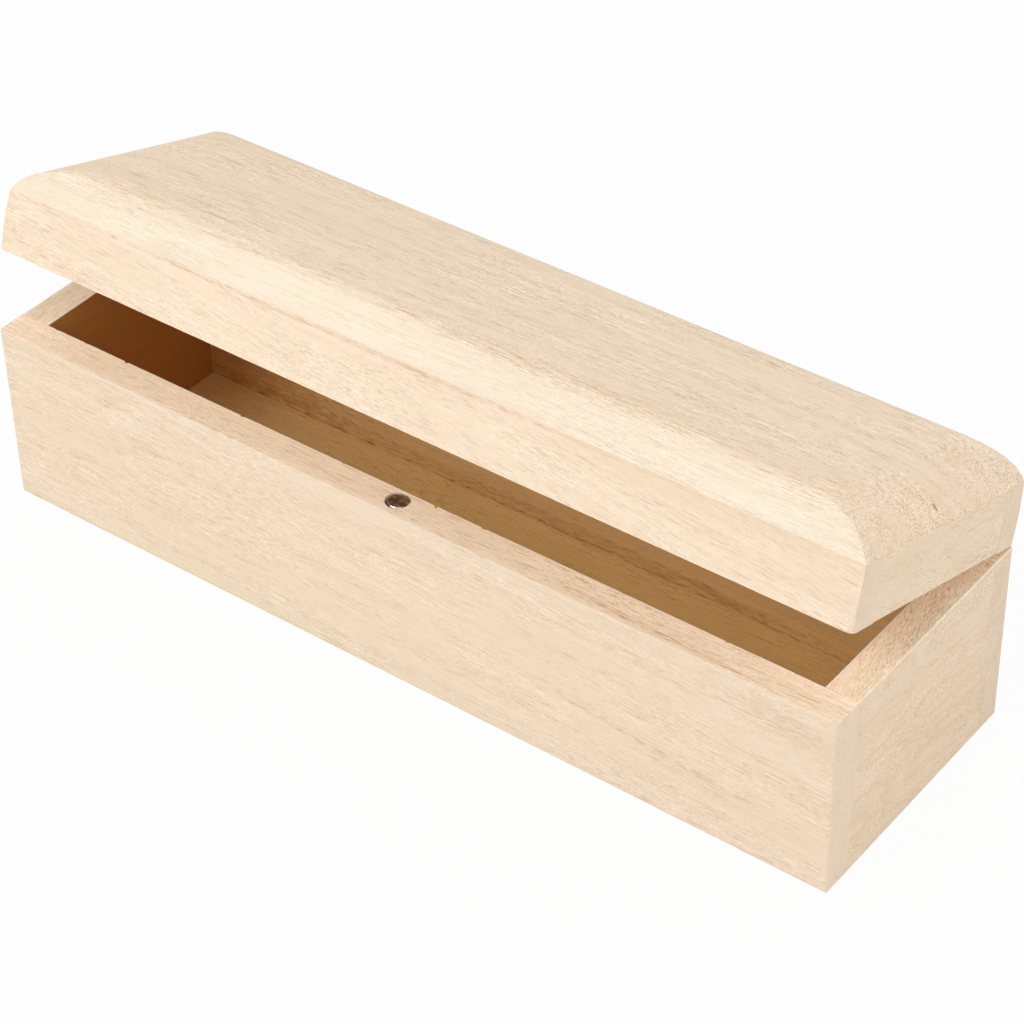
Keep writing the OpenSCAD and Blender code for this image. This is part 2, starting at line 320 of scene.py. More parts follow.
class Graph:
    """Lays out shader nodes from left to right."""

    def __init__(self, tree):
        self.tree = tree

    def node(self, kind, inputs=None, **settings):
        """A new node with its settings, and its inputs linked or set by name or number."""
        made = self.tree.nodes.new(kind)
        made.location = (180 * len(self.tree.nodes), -60 * (len(self.tree.nodes) % 6))
        for name, value in settings.items():
            setattr(made, name, value)
        for place, value in (inputs or {}).items():
            self.feed(made.inputs[place], value)
        return made

    def feed(self, socket, value):
        """Links an output to a socket, or sets the socket's own value."""
        if isinstance(value, bpy.types.NodeSocket):
            self.tree.links.new(value, socket)
        else:
            socket.default_value = value

    def math(self, operation, *values):
        """Result of a Math node."""
        return self.node("ShaderNodeMath", dict(enumerate(values)), operation=operation).outputs[0]

    def vector(self, operation, *values):
        """Result of a Vector Math node."""
        made = self.node("ShaderNodeVectorMath", operation=operation)
        for socket, value in zip(made.inputs, values):
            self.feed(socket, value)
        return made.outputs["Value" if operation == "LENGTH" else "Vector"]

    def scaled(self, vector, scale):
        """A vector times a number."""
        made = self.node("ShaderNodeVectorMath", {0: vector, "Scale": scale}, operation="SCALE")
        return made.outputs["Vector"]

    def smooth(self, value, low, high, to_low=0.0, to_high=1.0):
        """Smooth step from to_low at low to to_high at high."""
        made = self.node(
            "ShaderNodeMapRange", {"Value": value, "From Min": low, "From Max": high,
                                   "To Min": to_low, "To Max": to_high},
            interpolation_type="SMOOTHSTEP")
        return made.outputs[0]

    def noise(self, place, stretch, detail=1.0):
        """Noise with so many cycles a millimetre along each axis, as a value and as a colour."""
        scaled = self.vector("MULTIPLY", place, stretch)
        made = self.node("ShaderNodeTexNoise", {"Vector": scaled, "Scale": 1.0, "Detail": detail})
        return made.outputs["Fac"], made.outputs["Color"]

    def blend(self, factor, first, second, kind="MIX"):
        """Mix of two colours."""
        made = self.node("ShaderNodeMix", {0: factor, 6: first, 7: second},
                         data_type="RGBA", blend_type=kind)
        return made.outputs[2]

    def tinted(self, factor, colour, tint):
        """A colour multiplied by a tint as far as the factor says."""
        return self.blend(factor, colour, self.blend(1.0, colour, tint, "MULTIPLY"))

    def mark(self, name):
        """A mark that the mesh carries on its faces."""
        return self.node("ShaderNodeAttribute", attribute_name=name).outputs["Fac"]

    def around(self, value, strength, base=1.0):
        """base plus strength times how far a noise value lies from its middle."""
        return self.math("MULTIPLY_ADD", self.math("SUBTRACT", value, 0.5), strength, base)


def new_group(name, inputs, outputs):
    """Node group with its sockets, given as (kind, name), and its graph and inputs."""
    group = bpy.data.node_groups.new(name, "ShaderNodeTree")
    for side, sockets in (("INPUT", inputs), ("OUTPUT", outputs)):
        for kind, label in sockets:
            group.interface.new_socket(name=label, in_out=side, socket_type="NodeSocket" + kind)
    g = Graph(group)
    return group, g, g.node("NodeGroupInput").outputs


def board_grain():
    """Group: solid wood with the grain along X. Fibres, pores and rings run through the board."""
    name = "Board Grain"
    if name in bpy.data.node_groups:
        return bpy.data.node_groups[name]
    group, g, given = new_group(
        name,
        inputs=(("Vector", "Place"), ("Vector", "Slope"), ("Float", "Seed"), ("Float", "Fibres"),
                ("Float", "Pores"), ("Float", "Rings"), ("Color", "Early"), ("Color", "Late"),
                ("Color", "Pore")),
        outputs=(("Color", "Colour"), ("Float", "Roughness"), ("Float", "Height")))

    # The grain leans by the slope and wanders slowly, and each board starts elsewhere in the tree
    place = g.scaled(given["Place"], 1 / MM)
    along = g.node("ShaderNodeSeparateXYZ", {0: place}).outputs["X"]
    lean = g.vector("MULTIPLY", given["Slope"], along)
    shift = g.scaled(BOARD_SHIFT, given["Seed"])
    spot = g.vector("ADD", g.vector("SUBTRACT", place, lean), shift)
    drift = g.vector("SUBTRACT", g.noise(spot, DRIFT)[1], (0.5, 0.5, 0.5))
    spot = g.vector("MULTIPLY_ADD", drift, WANDER, spot)

    # Fibres: a fine texture, stronger in patches, and thin dark dashes that gather in bands
    short = g.noise(spot, SHORT_FIBRES, detail=0.0)[0]
    long = g.noise(spot, LONG_FIBRES, detail=0.0)[0]
    specks = g.noise(spot, SPECKS, detail=0.0)[0]
    texture = g.math("ADD", g.around(short, 0.28, base=0.0), g.around(long, 0.38, base=0.0))
    texture = g.math("ADD", texture, g.around(specks, 0.38, base=0.0))
    dashes = g.smooth(g.noise(spot, DASHES, detail=0.0)[0], 0.58, 0.74)
    ticks = g.smooth(g.noise(spot, TICKS, detail=0.0)[0], 0.58, 0.74)
    gathered = g.smooth(g.noise(spot, DASH_BANDS)[0], 0.38, 0.62, to_low=0.3, to_high=1.35)
    dark = g.math("MULTIPLY_ADD", dashes, 0.21, g.math("MULTIPLY", ticks, 0.09))
    dark = g.math("MULTIPLY", dark, gathered)
    patches = g.smooth(g.noise(spot, ROUGH_PATCHES)[0], 0.35, 0.65, to_low=0.38, to_high=1.38)
    fibre = g.math("SUBTRACT", g.math("MULTIPLY", texture, patches), dark)
    fibre = g.math("MULTIPLY", fibre, given["Fibres"])

    # Growth rings: slow bands across the grain that start sharply and fade
    bands = g.noise(spot, RING_BANDS)[0]
    phase = g.math("FRACT", g.math("MULTIPLY", bands, RINGS_IN_BAND))
    fade = g.smooth(phase, 0.1, 0.75, to_low=1.0, to_high=0.0)
    tone = g.math("MULTIPLY", g.smooth(phase, 0.0, 0.08), fade)

    # Pores: short dark lines that gather along the rings and in patches
    pore_noise = g.noise(spot, PORES)[0]
    gather = g.math("MAXIMUM", tone, g.smooth(g.noise(spot, PORE_PATCHES)[0], 0.48, 0.66))
    gather = g.math("MULTIPLY_ADD", gather, 0.85, 0.15)
    pores = g.math("MULTIPLY", g.smooth(pore_noise, 0.57, 0.70), gather)
    pore_mask = g.math("MULTIPLY", pores, given["Pores"])

    # Colour: from early to late wood, with wide streaks and clouds, and the pores on top
    streaks = g.noise(spot, STREAKS, detail=2.0)[0]
    clouds = g.noise(spot, CLOUDS, detail=2.0)[0]
    hue = g.smooth(g.noise(spot, HUES)[0], 0.3, 0.7)
    late = g.math("MULTIPLY_ADD", tone, 0.7, g.math("MULTIPLY", hue, 0.3))
    colour = g.blend(g.math("MULTIPLY", late, given["Rings"]), given["Early"], given["Late"])
    level = g.math("ADD", g.around(streaks, 0.10), fibre)
    level = g.math("ADD", level, g.around(clouds, 0.06, base=0.0))
    change = g.math("SUBTRACT", level, 1.0)
    shade = g.node("ShaderNodeCombineColor", {
        0: g.math("MULTIPLY_ADD", change, RED_SHARE, 1.0), 1: level,
        2: g.math("MULTIPLY_ADD", change, BLUE_SHARE, 1.0)}).outputs[0]
    colour = g.blend(1.0, colour, shade, "MULTIPLY")
    colour = g.blend(pore_mask, colour, given["Pore"])

    # Surface: the shine follows the long fibres, and pores and dashes are sunk
    rough = g.around(long, 0.25, base=0.66)
    relief = g.math("MULTIPLY", g.math("ADD", short, long), 0.5)
    height = g.math("SUBTRACT", relief, g.math("MAXIMUM", pores, g.math("MULTIPLY", dashes, 0.6)))
    g.node("NodeGroupOutput", {"Colour": colour, "Roughness": rough, "Height": height})
    return group


def worked_faces():
    """Group: tints the sawn rim, the inside and the sanded edges of a board, from marks on its faces. The tints
    are partly painted light: shade inside, light on the rim beside the opening, highlights on the edges.
    """
    name = "Worked Faces"
    if name in bpy.data.node_groups:
        return bpy.data.node_groups[name]
    group, g, given = new_group(
        name,
        inputs=(("Color", "Colour"), ("Color", "Sawn Tint"), ("Color", "Outer Tint"),
                ("Color", "Painted Inside Shade"), ("Color", "End Tint"), ("Color", "Fresh Edge Highlight"),
                ("Float", "Sawn"), ("Float", "End"), ("Float", "Inner Edge"),
                ("Float", "Opening End"), ("Vector", "Place")),
        outputs=(("Color", "Colour"),))
    place = g.scaled(given["Place"], 1 / MM)
    worn = g.mark("arris")
    inside = g.mark("inside")
    tangle = g.noise(place, TANGLE, detail=2.0)[0]

    # The sawn rim is tinted, and beside the opening painted lighter against the shade that the lid casts there;
    # the light fades outwards
    split = g.node("ShaderNodeSeparateXYZ", {0: place}).outputs
    inward = g.math("SUBTRACT", g.math("ABSOLUTE", split["Y"]), given["Inner Edge"])
    beside = g.math("LESS_THAN", g.math("ABSOLUTE", split["X"]), given["Opening End"])
    outer = g.smooth(g.around(tangle, 2.0, inward), 0.5, 6.0)
    tint = g.blend(outer, given["Sawn Tint"], given["Outer Tint"])
    colour = g.tinted(given["Sawn"], given["Colour"], tint)
    # Partly painted highlight: a thin line of fresh edge colour along the opening's edge, fresh cut wood lit up as
    # a highlight
    lip = g.smooth(g.around(tangle, 0.25, inward), 0.4, 0.62, to_low=1.0, to_high=0.0)
    lip = g.math("MULTIPLY", lip, g.math("MULTIPLY", given["Sawn"], beside))
    lip = g.math("MULTIPLY", lip, 0.85)
    colour = g.blend(lip, colour, given["Fresh Edge Highlight"])
    colour = g.tinted(given["End"], colour, given["End Tint"])

    # Painted shade: the inside tint darkens and warms the inner faces, standing in for the shade and warm bounce
    # light inside the box. Rubbed edges show fresh wood, with a painted highlight along them
    colour = g.tinted(inside, colour, given["Painted Inside Shade"])
    rubbed = g.math("MULTIPLY", worn, g.smooth(tangle, 0.35, 0.65, to_low=0.4, to_high=0.9))
    colour = g.blend(rubbed, colour, given["Fresh Edge Highlight"])
    g.node("NodeGroupOutput", {"Colour": colour})
    return group


def grain_mark():
    """Group: mask of a streak or fleck at one place in a board, broken up by the fibres."""
    name = "Grain Mark"
    if name in bpy.data.node_groups:
        return bpy.data.node_groups[name]
    group, g, given = new_group(
        name,
        inputs=(("Vector", "Place"), ("Vector", "Centre"), ("Vector", "Half Size"),
                ("Vector", "Slope"), ("Float", "Solid")),
        outputs=(("Float", "Mask"),))
    place = g.scaled(given["Place"], 1 / MM)
    away = g.vector("SUBTRACT", given["Place"], given["Centre"])
    along = g.node("ShaderNodeSeparateXYZ", {0: away}).outputs["X"]
    away = g.vector("SUBTRACT", away, g.vector("MULTIPLY", given["Slope"], along))
    share = g.vector("LENGTH", g.vector("DIVIDE", away, given["Half Size"]))
    ragged = g.around(g.noise(place, MARK_OUTLINE)[0], 1.2, share)
    body = g.smooth(ragged, 0.5, 1.0, to_low=1.0, to_high=0.0)
    dashes = g.smooth(g.noise(place, MARK_FIBRES, detail=0.0)[0], 0.46, 0.64)
    mask = g.math("MULTIPLY", body, g.math("MAXIMUM", dashes, given["Solid"]))
    g.node("NodeGroupOutput", {"Mask": mask})
    return group


def emptied(owner):
    """Graph of a material's or a world's own nodes, with none in it yet."""
    owner.use_nodes = True
    owner.node_tree.nodes.clear()
    return Graph(owner.node_tree)


def add_object(name, data):
    """A new object in the scene."""
    made = bpy.data.objects.new(name, data)
    bpy.context.scene.collection.objects.link(made)
    return made


def new_material(name):
    """Empty node material with its output and Principled shader."""
    made = bpy.data.materials.new(name)
    g = emptied(made)
    shader = g.node("ShaderNodeBsdfPrincipled")
    g.node("ShaderNodeOutputMaterial", {"Surface": shader.outputs[0]})
    return made, g, shader


def opaque(colour, tint=WHITE):
    """A tinted colour with full alpha."""
    return (*(channel * share for channel, share in zip(colour, tint)), 1.0)


def board_place(g, body, across):
    """Where a point lies in the shut box, with X along the grain."""
    place = g.node("ShaderNodeTexCoord").outputs["Object"]
    if body == HINGE["child"]:
        place = g.node("ShaderNodeVectorRotate", {
            "Vector": place, "Center": HINGE["pos_m"], "Axis": HINGE["axis"], "Angle": -OPENING},
            rotation_type="AXIS_ANGLE").outputs[0]
    if across:
        place = g.node("ShaderNodeVectorRotate", {"Vector": place, "Angle": math.radians(90)},
                       rotation_type="Z_AXIS").outputs[0]
    return place


def streak(colour, strength, centre, half_size, slope=(0.0, 0.0, 0.0), solid=0.0, inner=False):
    """A mark in a board: its colour, its strength, if it shows inside only, and its Grain Mark inputs."""
    spread = {"Centre": centre, "Half Size": half_size, "Slope": slope, "Solid": solid}
    return colour, strength, inner, spread


def board_wood(node, look, seed, slope, fibres=0.8, pores=0.3, rings=0.3, tint=WHITE, rim=WHITE,
               shade=WHITE, ends=WHITE, stipple=-0.3, sanded=0.0, across=False, marks=()):
    """Material of one board. tint colours it all, rim, shade and ends only its rim, inside and end grain; shade
    scales the painted shade inside.
    stipple is how much coarser its end grain is, sanded how much smoother its front is, and across
    says that its grain runs from front to back."""
    made, g, shader = new_material("wood_of_" + node)
    place = board_place(g, body_of(node), across)
    sawn = g.mark("sawn")
    normal = g.node("ShaderNodeTexCoord").outputs["Normal"]
    facing = g.node("ShaderNodeSeparateXYZ", {0: normal}).outputs
    end_grain = g.math("ABSOLUTE", facing["X"])
    inside = g.mark("inside")
    coarse = g.math("MULTIPLY_ADD", sawn, 0.5 * fibres, fibres)
    coarse = g.math("MULTIPLY_ADD", inside, -0.35 * fibres, coarse)
    if not across:
        coarse = g.math("MULTIPLY_ADD", end_grain, stipple * fibres, coarse)
    if sanded:
        forward = g.smooth(facing["Y"], 0.1, -0.5, to_high=sanded)
        coarse = g.math("MULTIPLY_ADD", forward, -fibres, coarse)
    grain = g.node("ShaderNodeGroup", node_tree=board_grain(), inputs={
        "Place": place, "Slope": slope, "Seed": seed, "Fibres": coarse, "Rings": rings,
        "Pores": g.math("MULTIPLY_ADD", sawn, 0.15, pores), "Early": opaque(look.early, tint),
        "Late": opaque(look.late, tint), "Pore": opaque(look.pore)}).outputs
    colour = grain["Colour"]
    for stain, strength, inner, spread in marks:
        mask = g.node("ShaderNodeGroup", {"Place": place, **spread}, node_tree=grain_mark()).outputs[0]
        if inner:
            mask = g.math("MULTIPLY", mask, inside)
        colour = g.blend(g.math("MULTIPLY", mask, strength), colour, opaque(stain))
    if sanded:
        colour = g.tinted(forward, colour, opaque(look.sanded))
    colour = g.node("ShaderNodeGroup", node_tree=worked_faces(), inputs={
        "Colour": colour, "Sawn Tint": opaque(look.sawn, rim), "Outer Tint": opaque(look.outer, rim),
        "End Tint": opaque(look.end, ends), "Painted Inside Shade": opaque(look.inside, shade),
        "Fresh Edge Highlight": opaque(look.clean),
        "Sawn": sawn, "End": 0.0 if across else end_grain,
        "Inner Edge": (INNER_X if across else INNER_Y) / MM,
        "Opening End": (HALF_DEPTH if across else INNER_X) / MM, "Place": place}).outputs[0]
    bump = g.node("ShaderNodeBump", {"Height": grain["Height"], "Distance": look.pore_depth,
                                     "Strength": 0.5}).outputs[0]
    g.feed(shader.inputs["Base Color"], colour)
    g.feed(shader.inputs["Roughness"], grain["Roughness"])
    g.feed(shader.inputs["Normal"], bump)
    shader.inputs["Specular IOR Level"].default_value = 0.2
    return made


# ---- Boards ----

def shut_mesh(node):
    """A CAD node with the lid shut, its split corners joined and its flat faces whole."""
    bm = bmesh.new()
    bm.from_mesh(frame["nodes"][node].data)
    bmesh.ops.transform(bm, matrix=standing(body_of(node)).inverted(), verts=bm.verts)
    bmesh.ops.remove_doubles(bm, verts=bm.verts, dist=SAME_POINT)
    bmesh.ops.dissolve_limit(bm, angle_limit=FLAT_ANGLE, verts=bm.verts, edges=bm.edges)
    return bm


def cut_across(bm, point, normal):
    """Adds a loop of edges where a plane passes through."""
    everything = bm.verts[:] + bm.edges[:] + bm.faces[:]
    bmesh.ops.bisect_plane(bm, geom=everything, plane_co=point, plane_no=normal, dist=CUT_ROOM)


def touches(point, node, room):
    """Whether a point lies in or on a node's box, widened by room."""
    low, high = BOXES[node]
    return all(low[a] - room <= point[a] <= high[a] + room for a in range(3))


def meets_wood(node, point):
    """Whether another board of the same body touches this point."""
    others = (other for other in WOOD if other != node and body_of(other) == body_of(node))
    return any(touches(point, other, TOUCH) for other in others)


def near_metal(node, point):
    """Whether a magnet or a hinge part of the same body is next to this point."""
    others = (other for other in HARDWARE if body_of(other) == body_of(node))
    return any(touches(point, other, METAL_ROOM) for other in others)


def turn_of(edge):
    """Angle between an edge's two faces."""
    return edge.calc_face_angle(0.0) if len(edge.link_faces) == 2 else 0.0


def middle(edge):
    """Point halfway along an edge."""
    return (edge.verts[0].co + edge.verts[1].co) / 2


def bevel(bm, edges, width, segments, mark=None):
    """Rounds edges, and marks the new faces as worn if a mark layer is given."""
    made = bmesh.ops.bevel(bm, geom=edges, offset=width, offset_type="OFFSET", segments=segments,
                           profile=0.5, affect="EDGES", clamp_overlap=True)
    if mark is not None:
        for face in made["faces"]:
            face[mark] = 1.0


def is_inner(point):
    """Whether a point is on the openings' side of the boards."""
    return abs(point.x) < INNER_X + TOUCH and abs(point.y) < INNER_Y + TOUCH


def soften_board(bm, node, look):
    """Sands the open edges and leaves fine chamfers where boards meet."""
    mark = bm.faces.layers.float.new("arris")
    sharp = [e for e in bm.edges if turn_of(e) > ARRIS_ANGLE and not near_metal(node, middle(e))]
    open_edges = [e for e in sharp if not meets_wood(node, middle(e))]
    inner = [e for e in open_edges if is_inner(middle(e))]
    outer = [e for e in open_edges if e not in inner]
    bevel(bm, outer, look.outer, segments=3, mark=mark)
    bevel(bm, [e for e in inner if e.is_valid], look.inner, segments=3, mark=mark)
    seams = [e for e in bm.edges if turn_of(e) > SEAM_ANGLE and meets_wood(node, middle(e))]
    bevel(bm, seams, look.glue, segments=1)


def mark_faces(bm, name, wanted):
    """Marks every face that wanted says yes to, for the materials to read."""
    layer = bm.faces.layers.float.new(name)
    for face in bm.faces:
        face[layer] = 1.0 if wanted(face.normal, face.calc_center_median()) else 0.0


def waver(travel, length, seed):
    """Smooth noise along an edge, whose waves have about this length."""
    return noise.noise(Vector((travel / length, seed, 0.0)))


def nick_edge(bm, start, end, look, seed):
    """Makes the edge of an opening uneven: its width wanders, and a few fibres have torn out."""
    reach = NICK_REACH * look.inner
    length = (end - start).length
    along = (end - start).normalized()

    def offset(point):
        return (point - start) - along * (point - start).dot(along)

    def runs_along(edge):
        both_near = all(offset(v.co).length < reach for v in edge.verts)
        return both_near and edge.calc_length() > length / 2

    lines = [e for e in bm.edges if runs_along(e)]
    bmesh.ops.subdivide_edges(bm, edges=lines, cuts=int(length / NICK_SPACING))
    for vertex in bm.verts:
        gap = offset(vertex.co)
        travel = (vertex.co - start).dot(along)
        if gap.length > reach or not MM < travel < length - MM:
            continue
        wander = waver(travel, WANDER_LENGTH, seed)
        tooth = waver(travel, TOOTH_LENGTH, seed + TOOTH_SEED)
        torn = max(0.0, waver(travel, TEAR_LENGTH, seed + TEAR_SEED) - TEAR_LEVEL)
        vertex.co += gap * (WANDER_SHARE * wander + TOOTH_SHARE * tooth + TEAR_DEPTH * torn)


def finish_piece(bm, node, material):
    """Turns the mesh into a piece that stands for its CAD node and rides where it does."""
    for edge in bm.edges:
        edge.smooth = turn_of(edge) < SHARP_ANGLE
    for face in bm.faces:
        face.smooth = True
    bm.transform(standing(body_of(node)))
    name = "wood_" + node
    mesh = bpy.data.meshes.new(name)
    bm.to_mesh(mesh)
    bm.free()
    mesh.materials.append(material)
    piece = add_object(name, mesh)
    even = piece.modifiers.new("Even normals", "WEIGHTED_NORMAL")
    even.keep_sharp = True
    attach(piece, body_of(node))
    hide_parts(node)


def mark_board(bm, rim, inward):
    """Marks a board's sawn rim and its inner face. inward points from the board into the box."""
    def on_rim(normal, centre):
        return abs(normal.z) > STRAIGHT and abs(centre.z - rim) < 5 * TOUCH

    def on_inside(normal, centre):
        return normal.dot(inward) > ROUGHLY and is_inner(centre)

    mark_faces(bm, "sawn", on_rim)
    mark_faces(bm, "inside", on_inside)


def work_board(bm, node, look, inward, ends, seed):
    """Sands and marks a board, and nicks its edge on the opening, which runs between two ends."""
    start, end = (Vector(point) for point in ends)
    soften_board(bm, node, look)
    mark_board(bm, start.z, Vector(inward))
    nick_edge(bm, start, end, look, seed)


def make_long_board(node, material, look, side, rim, seed):
    """Front or back board of the base or the lid. side is -1 for the front."""
    bm = shut_mesh(node)
    for x in (-INNER_X, INNER_X):
        cut_across(bm, (x, 0, 0), (1, 0, 0))
    ends = [(x, side * INNER_Y, rim) for x in (-INNER_X, INNER_X)]
    work_board(bm, node, look, (0, -side, 0), ends, seed)
    finish_piece(bm, node, material)


def make_end_board(node, material, look, side, rim, seed):
    """End board of the base or the lid. side is -1 for the left."""
    bm = shut_mesh(node)
    ends = [(side * INNER_X, y, rim) for y in (-INNER_Y, INNER_Y)]
    work_board(bm, node, look, (-side, 0, 0), ends, seed)
    finish_piece(bm, node, material)


# ---- Crown of the lid ----

def end_arcs(run, rise, look):
    """Radii of the tight and the wide arc that together give the end crown's run and rise."""
    steep, gentle = look.end_slope, look.handover_slope
    tight_run = math.sin(steep) - math.sin(gentle)
    tight_rise = math.cos(gentle) - math.cos(steep)
    wide_run = math.sin(gentle)
    wide_rise = 1 - math.cos(gentle)
    whole = tight_run * wide_rise - wide_run * tight_rise
    tight = (run * wide_rise - wide_run * rise) / whole
    wide = (tight_run * rise - run * tight_rise) / whole
    return tight, wide


def end_inset(height, run, rise, look):
    """Distance in from the end crease where the end crown has a height."""
    tight, wide = end_arcs(run, rise, look)
    handover = rise - wide * (1 - math.cos(look.handover_slope))
    if height >= handover:
        drop = rise - height
        return run - math.sqrt(max(0.0, drop * (2 * wide - drop)))
    centre_height = -tight * math.cos(look.end_slope)
    centre_inset = tight * math.sin(look.end_slope)
    reach = height - centre_height
    return centre_inset - math.sqrt(max(0.0, tight * tight - reach * reach))


def soft_lower(a, b, softness):
    """The lower of two heights, rounded where they meet."""
    room = softness * min(a, b)
    if room <= 0:
        return min(a, b)
    near = max(0.0, room - abs(a - b)) / room
    return min(a, b) - near * near * room / 4


def mirrored(insets, half, middle_cells):
    """Places from -half to half: the insets at both ends and even cells in the middle."""
    inner = half - insets[-1]
    left = [-half + inset for inset in insets]
    between = [-inner + 2 * inner * cell / middle_cells for cell in range(1, middle_cells)]
    return left + between + [-x for x in left[::-1]]


def make_crown(material, look):
    """Top panel of the lid: its four crowned sides meet in soft hips."""
    node = "lid_top_panel"
    low, high = BOXES[node]
    rise = high.z - low.z
    flat = [p for p in shut_points(node) if p.z > high.z - TOUCH]
    end_run = high.x - max(p.x for p in flat)
    side_run = high.y - max(p.y for p in flat)
    radius = (side_run * side_run + rise * rise) / (2 * rise)
    opening = math.acos((radius - rise) / radius)
    turns = [opening * (1 - step / look.steps) for step in range(look.steps + 1)]
    heights = [rise - radius * (1 - math.cos(turn)) for turn in turns]
    side_insets = [side_run - radius * math.sin(turn) for turn in turns]
    end_insets = [end_inset(height, end_run, rise, look) for height in heights]
    long_cells = 26
    cross_cells = 8
    xs = mirrored(end_insets, high.x, long_cells)
    ys = mirrored(side_insets, high.y, cross_cells)
    x_heights = heights + [rise] * (long_cells - 1) + heights[::-1]
    y_heights = heights + [rise] * (cross_cells - 1) + heights[::-1]

    bm = bmesh.new()
    grid = []
    for x, x_height in zip(xs, x_heights):
        column = []
        for y, y_height in zip(ys, y_heights):
            height = soft_lower(x_height, y_height, look.hip)
            column.append(bm.verts.new((x, y, low.z + max(0.0, height))))
        grid.append(column)
    for left, right in zip(grid, grid[1:]):
        for j in range(len(ys) - 1):
            bm.faces.new((left[j], right[j], right[j + 1], left[j + 1]))
    crease = [column[0] for column in grid] + grid[-1][1:]
    crease += [column[-1] for column in grid[-2::-1]] + grid[0][-2:0:-1]
    bm.faces.new(crease[::-1])
    bm.normal_update()
    sand_uneven(bm, low.z, look.wave)
    mark_faces(bm, "inside", lambda normal, centre: normal.z < -STRAIGHT)
    seams = [e for e in bm.edges if turn_of(e) > SEAM_ANGLE and middle(e).z < low.z + TOUCH]
    bevel(bm, seams, look.glue, segments=1)
    finish_piece(bm, node, material)


def sand_uneven(bm, level, depth):
    """Moves the crown in and out by slow waves that fade out at the crease."""
    for vertex in bm.verts:
        rise = min(1.0, (vertex.co.z - level) / MM)
        wave = noise.noise(Vector((vertex.co.x / WAVE_LENGTH, vertex.co.y / WAVE_WIDTH, WAVE_SEED)))
        vertex.co += vertex.normal * wave * depth * rise


# ---- Metal ----

def metal(name, bright, dull, patches, rough):
    """Plated metal with dull patches."""
    made, g, shader = new_material(name)
    place = g.scaled(g.node("ShaderNodeTexCoord").outputs["Object"], 1 / MM)
    cloud = g.noise(place, (0.9, 0.9, 0.9), detail=3.0)[0]
    fine = g.noise(place, (6.0, 6.0, 6.0), detail=2.0)[0]
    mask = g.smooth(cloud, 0.5 - patches / 2, 0.75 - patches / 2)
    g.feed(shader.inputs["Base Color"], g.blend(mask, opaque(bright), opaque(dull)))
    g.feed(shader.inputs["Roughness"], g.smooth(cloud, 0.3, 0.7, to_low=rough, to_high=rough + 0.2))
    bump = g.node("ShaderNodeBump", {"Height": fine, "Distance": 0.01 * MM, "Strength": 0.3}).outputs[0]
    g.feed(shader.inputs["Normal"], bump)
    shader.inputs["Metallic"].default_value = 1.0
    return made


def dress(nodes, material):
    """Gives CAD nodes a finished material."""
    for node in nodes:
        for slot in frame["nodes"][node].material_slots:
            slot.material = material


# ---- Operators ----

